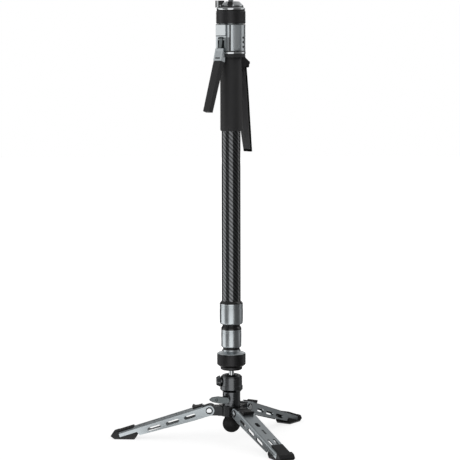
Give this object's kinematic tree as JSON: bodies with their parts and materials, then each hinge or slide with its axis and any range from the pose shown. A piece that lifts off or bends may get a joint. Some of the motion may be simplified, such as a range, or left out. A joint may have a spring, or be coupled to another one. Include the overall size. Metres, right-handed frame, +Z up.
{
  "type": "camera monopod",
  "caption": "Telescoping carbon camera monopod with a squeeze lever, hand strap and quick-release head plate, standing on a tilting ball joint with folding channel legs",
  "frame": {"origin": "on the ground on the column's axis, midway between the three feet", "axes": "+Z up along the column; +X to the picture's right; +Y away from the picture's camera"},
  "size_m": [0.3349, 0.3717, 0.7537],
  "materials": {
    "carbon": "glossy woven carbon",
    "silver": "satin anodised",
    "grey": "satin anodised",
    "gunmetal": "dark satin anodised",
    "polished": "polished",
    "black_metal": "matt black anodised, fine ridges",
    "steel": "plain turned",
    "rubber": "matt",
    "webbing": "woven",
    "black_gloss": "glossy moulded",
    "black_plastic": "matt",
    "liner": "smooth"
  },
  "bodies": {
    "base": {"hub": "gunmetal", "pan_clamp": "gunmetal", "leg_pivots": "polished", "bulb_foot": "rubber"},
    "leg_left": {"left_leg": "grey", "left_foot": "rubber"},
    "leg_right": {"right_leg": "grey", "right_foot": "rubber"},
    "leg_front": {"front_leg": "grey", "front_foot": "rubber"},
    "latch_left": {"left_latch": "black_plastic"},
    "latch_right": {"right_latch": "black_plastic"},
    "latch_front": {"front_latch": "black_plastic"},
    "wing": {"wing_lever": "grey", "wing_screw": "steel"},
    "ball_base": {"ball_housing": "gunmetal", "retaining_ring": "gunmetal"},
    "ball_lock": {"locking_knob": "gunmetal", "locking_screw": "steel"},
    "ball_liner": {"ball_seat": "liner"},
    "lower_section": {"ball_stem": "polished", "knob_ring": "black_metal", "tube_plug": "grey", "lower_tube": "carbon", "lower_brake": "grey"},
    "coupling_ring": {"base_knob": "black_metal"},
    "middle_section": {"middle_tube": "carbon", "middle_collar": "silver", "middle_bevel": "black_gloss", "middle_bush": "black_plastic", "middle_brake": "grey"},
    "upper_section": {"main_tube": "carbon", "upper_collar": "silver", "upper_flare": "black_gloss", "upper_bush": "black_plastic", "grip_sleeve": "rubber", "strap_anchor": "black_plastic", "hand_strap": "webbing", "trim_ring": "polished", "head_housing": "silver", "housing_screws": "steel", "hinge_cover": "polished", "lever_pin": "steel", "seat_ring": "polished", "head_plate": "polished", "camera_stud": "steel"},
    "plate_lock": {"lock_ring": "black_metal"},
    "lever": {"squeeze_lever": "silver", "lever_grip": "rubber"},
    "rod": {"release_rod": "steel"}
  },
  "joints": [
    {"name": "pan_turn", "type": "hinge", "parent": "base", "child": "ball_base", "pos_m": [0, 0, 0.0712], "axis": [0, 0, 1], "continuous": true},
    {"name": "locking_knob_turn", "type": "hinge", "parent": "ball_base", "child": "ball_lock", "pos_m": [0, 0, 0.1016], "axis": [-0.9877, -0.1564, 0], "range_deg": [0, 270]},
    {"name": "ball_turn", "type": "hinge", "parent": "ball_base", "child": "ball_liner", "pos_m": [0, 0, 0.0974], "axis": [0, 0, 1], "continuous": true},
    {"name": "ball_lean", "type": "hinge", "parent": "ball_liner", "child": "lower_section", "pos_m": [0, 0, 0.0974], "axis": [0, 1, 0], "range_deg": [-20, 0]},
    {"name": "base_knob_turn", "type": "hinge", "parent": "lower_section", "child": "coupling_ring", "pos_m": [0, 0, 0.14], "axis": [0, 0, 1], "range_deg": [0, 60]},
    {"name": "middle_slide", "type": "slide", "parent": "lower_section", "child": "middle_section", "axis": [0, 0, 1], "range_m": [0, 0.38]},
    {"name": "upper_slide", "type": "slide", "parent": "middle_section", "child": "upper_section", "axis": [0, 0, 1], "range_m": [0, 0.38]},
    {"name": "lock_ring_turn", "type": "hinge", "parent": "upper_section", "child": "plate_lock", "pos_m": [0, 0, 0.718], "axis": [0, 0, 1], "range_deg": [0, 60]},
    {"name": "lever_squeeze", "type": "hinge", "parent": "upper_section", "child": "lever", "pos_m": [-0.01472, -0.01635, 0.681], "axis": [0.7431, -0.6691, 0], "range_deg": [0, 8], "stiffness_Nm_per_rad": 0.8, "springref_deg": -11.46},
    {"name": "rod_slide", "type": "slide", "parent": "upper_section", "child": "rod", "axis": [0, 0, 1], "range_m": [0, 0.0018]},
    {"name": "wing_turn", "type": "hinge", "parent": "base", "child": "wing", "pos_m": [-0.0088, -0.0152, 0.0715], "axis": [0, 1, 0], "range_deg": [0, 45]},
    {"name": "left_leg_fold", "type": "hinge", "parent": "base", "child": "leg_left", "pos_m": [-0.03691, 0.00258, 0.0515], "axis": [0.0698, 0.9976, 0], "range_deg": [0, 106]},
    {"name": "left_latch_slide", "type": "slide", "parent": "leg_left", "child": "latch_left", "axis": [-0.9487, 0.0663, -0.309], "range_m": [0, 0.003], "stiffness_N_per_m": 500, "springref_m": -0.004},
    {"name": "right_leg_fold", "type": "hinge", "parent": "base", "child": "leg_right", "pos_m": [0.02069, 0.03067, 0.0515], "axis": [0.829, -0.5592, 0], "range_deg": [0, 106]},
    {"name": "right_latch_slide", "type": "slide", "parent": "leg_right", "child": "latch_right", "axis": [0.5318, 0.7885, -0.309], "range_m": [0, 0.003], "stiffness_N_per_m": 500, "springref_m": -0.004},
    {"name": "front_leg_fold", "type": "hinge", "parent": "base", "child": "leg_front", "pos_m": [0.01622, -0.03325, 0.0515], "axis": [-0.8988, -0.4384, 0], "range_deg": [0, 106]},
    {"name": "front_latch_slide", "type": "slide", "parent": "leg_front", "child": "latch_front", "axis": [0.4169, -0.8548, -0.309], "range_m": [0, 0.003], "stiffness_N_per_m": 500, "springref_m": -0.004}
  ],
  "couplings": [
    {"joint": "rod_slide", "follows": "lever_squeeze", "m_per_rad": 0.012}
  ]
}
